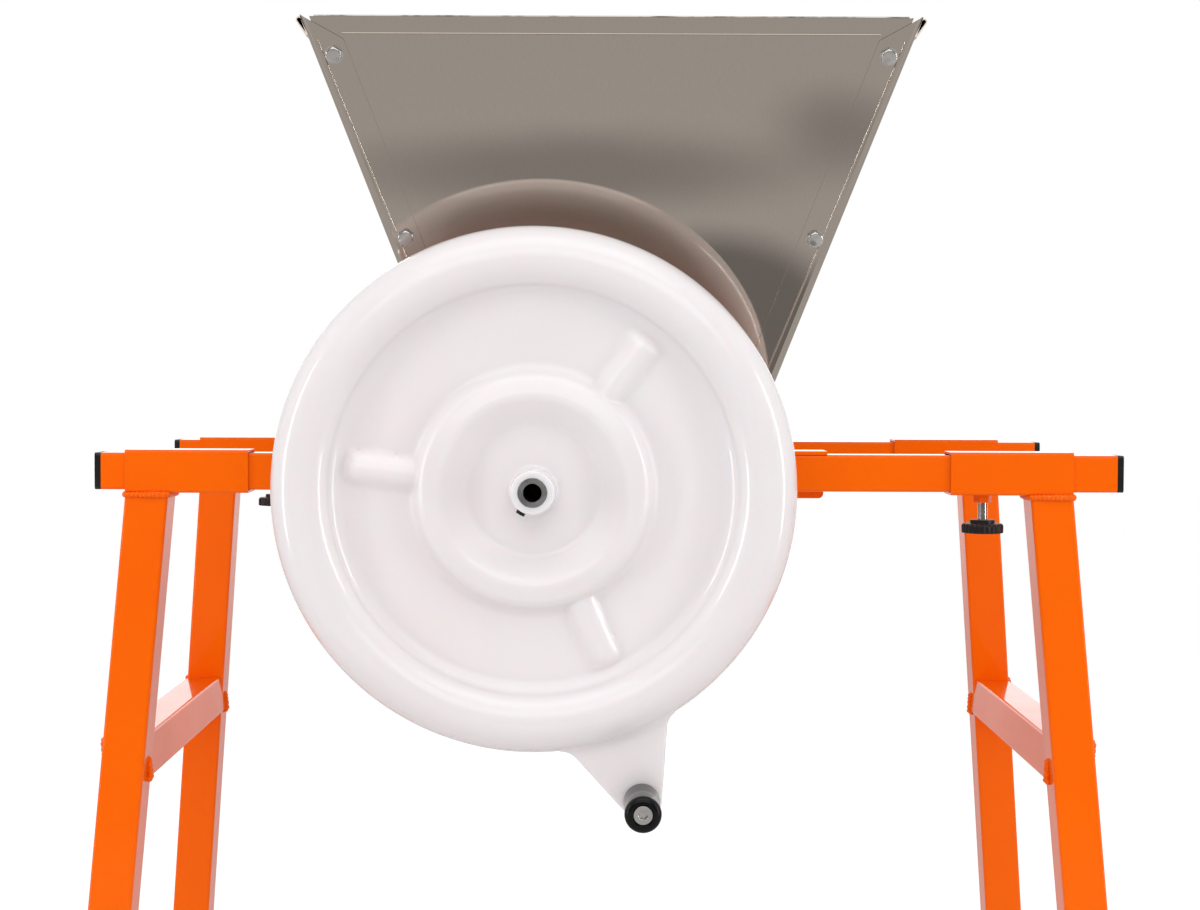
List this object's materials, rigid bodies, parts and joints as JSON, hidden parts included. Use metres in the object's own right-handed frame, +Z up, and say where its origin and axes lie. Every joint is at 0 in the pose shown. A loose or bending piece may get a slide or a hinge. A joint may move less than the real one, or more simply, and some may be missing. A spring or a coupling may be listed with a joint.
{
  "type": "grape crusher",
  "caption": "Hand-cranked grape crusher: folded steel hopper over a geared pair of fluted rollers, moulded flywheel with handle, and splayed trestles that slide along the frame's arms.",
  "frame": {"origin": "on the floor, under the middle of the crusher's box", "axes": "+Z up, -Y towards the flywheel and handle, +X to the right as seen from the flywheel"},
  "size_m": [0.8814, 0.6015, 1.059],
  "materials": {
    "stainless_sheet": "cold-rolled stainless sheet, softly reflective",
    "orange_paint": "glossy orange powder coat",
    "white_moulding": "glossy white blow-moulded plastic",
    "black_plastic": "satin black plastic",
    "grip_plastic": "smooth black plastic",
    "zinc_fasteners": "bright zinc plate",
    "black_oxide": "black oxide",
    "roller_aluminium": "extruded aluminium",
    "bush_nylon": "natural nylon",
    "gear_iron": "greased cast iron",
    "shaft_steel": "turned steel"
  },
  "bodies": {
    "chassis": {"chassis_front_plate": "orange_paint", "chassis_rear_plate": "orange_paint", "chassis_left_rail": "orange_paint", "chassis_right_rail": "orange_paint", "front_left_arm": "orange_paint", "front_right_arm": "orange_paint", "rear_left_arm": "orange_paint", "rear_right_arm": "orange_paint", "arm_end_caps": "black_plastic", "hopper_front_panel": "stainless_sheet", "hopper_rear_panel": "stainless_sheet", "hopper_left_panel": "stainless_sheet", "hopper_right_panel": "stainless_sheet", "hopper_corner_bolts": "zinc_fasteners", "hopper_corner_nuts": "zinc_fasteners", "hopper_base_bolts": "zinc_fasteners", "hopper_base_nuts": "zinc_fasteners", "front_roller_bushes": "bush_nylon", "rear_roller_bushes": "bush_nylon", "gear_guard": "orange_paint", "gear_guard_screws": "zinc_fasteners"},
    "crank": {"drive_shaft": "shaft_steel", "drive_collar": "shaft_steel", "drive_roller": "roller_aluminium", "drive_roller_pin": "shaft_steel", "drive_gear": "gear_iron", "drive_gear_pin": "shaft_steel", "flywheel": "white_moulding", "flywheel_set_screw": "black_oxide", "handle_bolt": "zinc_fasteners", "handle_nut": "zinc_fasteners"},
    "grip": {"handle_grip": "grip_plastic"},
    "driven_roller": {"driven_shaft": "shaft_steel", "driven_collar": "shaft_steel", "driven_roller": "roller_aluminium", "driven_roller_pin": "shaft_steel", "driven_gear": "gear_iron", "driven_gear_pin": "shaft_steel"},
    "left_trestle": {"left_front_sleeve": "orange_paint", "left_rear_sleeve": "orange_paint", "left_front_leg": "orange_paint", "left_rear_leg": "orange_paint", "left_cross_rail": "orange_paint", "left_foot_caps": "black_plastic", "left_clamp_nut": "orange_paint"},
    "left_clamp": {"left_clamp_screw": "zinc_fasteners", "left_clamp_knob": "black_plastic"},
    "right_trestle": {"right_front_sleeve": "orange_paint", "right_rear_sleeve": "orange_paint", "right_front_leg": "orange_paint", "right_rear_leg": "orange_paint", "right_cross_rail": "orange_paint", "right_foot_caps": "black_plastic", "right_clamp_nut": "orange_paint"},
    "right_clamp": {"right_clamp_screw": "zinc_fasteners", "right_clamp_knob": "black_plastic"}
  },
  "joints": [
    {"name": "crank_spin", "type": "hinge", "parent": "chassis", "child": "crank", "pos_m": [-0.05, -0.23764, 0.692], "axis": [0, 1, 0], "continuous": true},
    {"name": "driven_roller_spin", "type": "hinge", "parent": "chassis", "child": "driven_roller", "pos_m": [0.066, 0.05836, 0.692], "axis": [0, 1, 0], "continuous": true},
    {"name": "grip_spin", "type": "hinge", "parent": "crank", "child": "grip", "pos_m": [0.03263, -0.27, 0.45605], "axis": [0, 1, 0], "continuous": true},
    {"name": "left_trestle_slide", "type": "slide", "parent": "chassis", "child": "left_trestle", "axis": [1, 0, 0], "range_m": [-0.02, 0.115]},
    {"name": "right_trestle_slide", "type": "slide", "parent": "chassis", "child": "right_trestle", "axis": [1, 0, 0], "range_m": [-0.099, 0.036]},
    {"name": "left_clamp_turn", "type": "hinge", "parent": "left_trestle", "child": "left_clamp", "pos_m": [-0.314, 0.22536, 0.657], "axis": [0, 0, 1], "range_deg": [-720, 0]},
    {"name": "right_clamp_turn", "type": "hinge", "parent": "right_trestle", "child": "right_clamp", "pos_m": [0.314, -0.10864, 0.657], "axis": [0, 0, 1], "range_deg": [-720, 0]}
  ],
  "couplings": [
    {"joint": "driven_roller_spin", "follows": "crank_spin", "ratio": -1}
  ]
}
